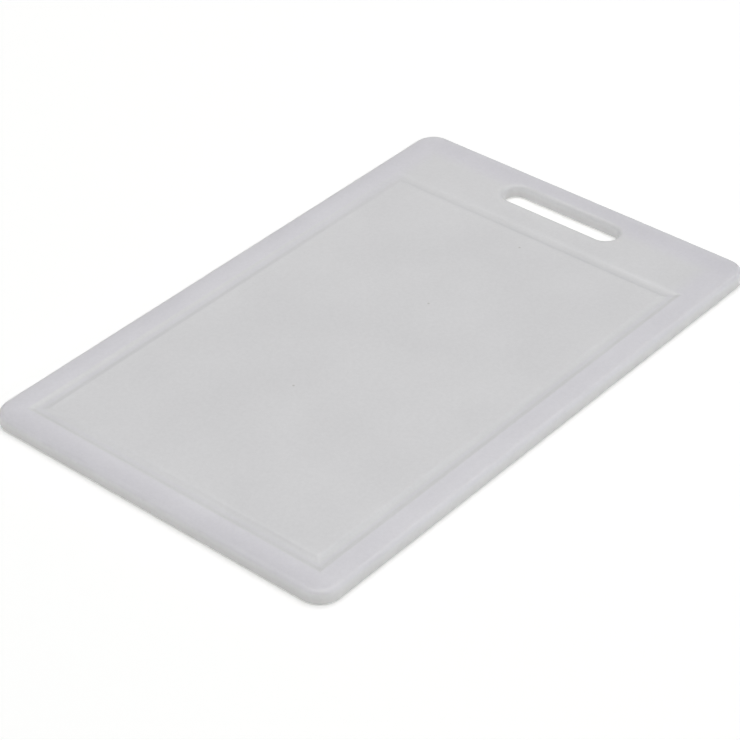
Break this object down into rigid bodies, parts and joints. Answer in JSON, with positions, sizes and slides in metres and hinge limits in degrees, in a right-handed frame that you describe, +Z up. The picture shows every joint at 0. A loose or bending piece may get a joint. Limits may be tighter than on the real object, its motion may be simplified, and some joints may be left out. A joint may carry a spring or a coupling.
{
  "type": "cutting board",
  "caption": "Thin rectangular plastic cutting board with rounded corners, a juice groove round the cutting face and a long hand slot at one end.",
  "frame": {"origin": "middle of the flat underside, on the surface that the board lies on", "axes": "+X across the board, +Y along its length towards the hand slot, +Z up out of the cutting face"},
  "size_m": [0.23, 0.36, 0.008],
  "materials": {
    "white_polyethylene": "slightly translucent white plastic with a fine moulded grain and a low satin gloss"
  },
  "bodies": {
    "root": {"board": "white_polyethylene"}
  },
  "joints": []
}
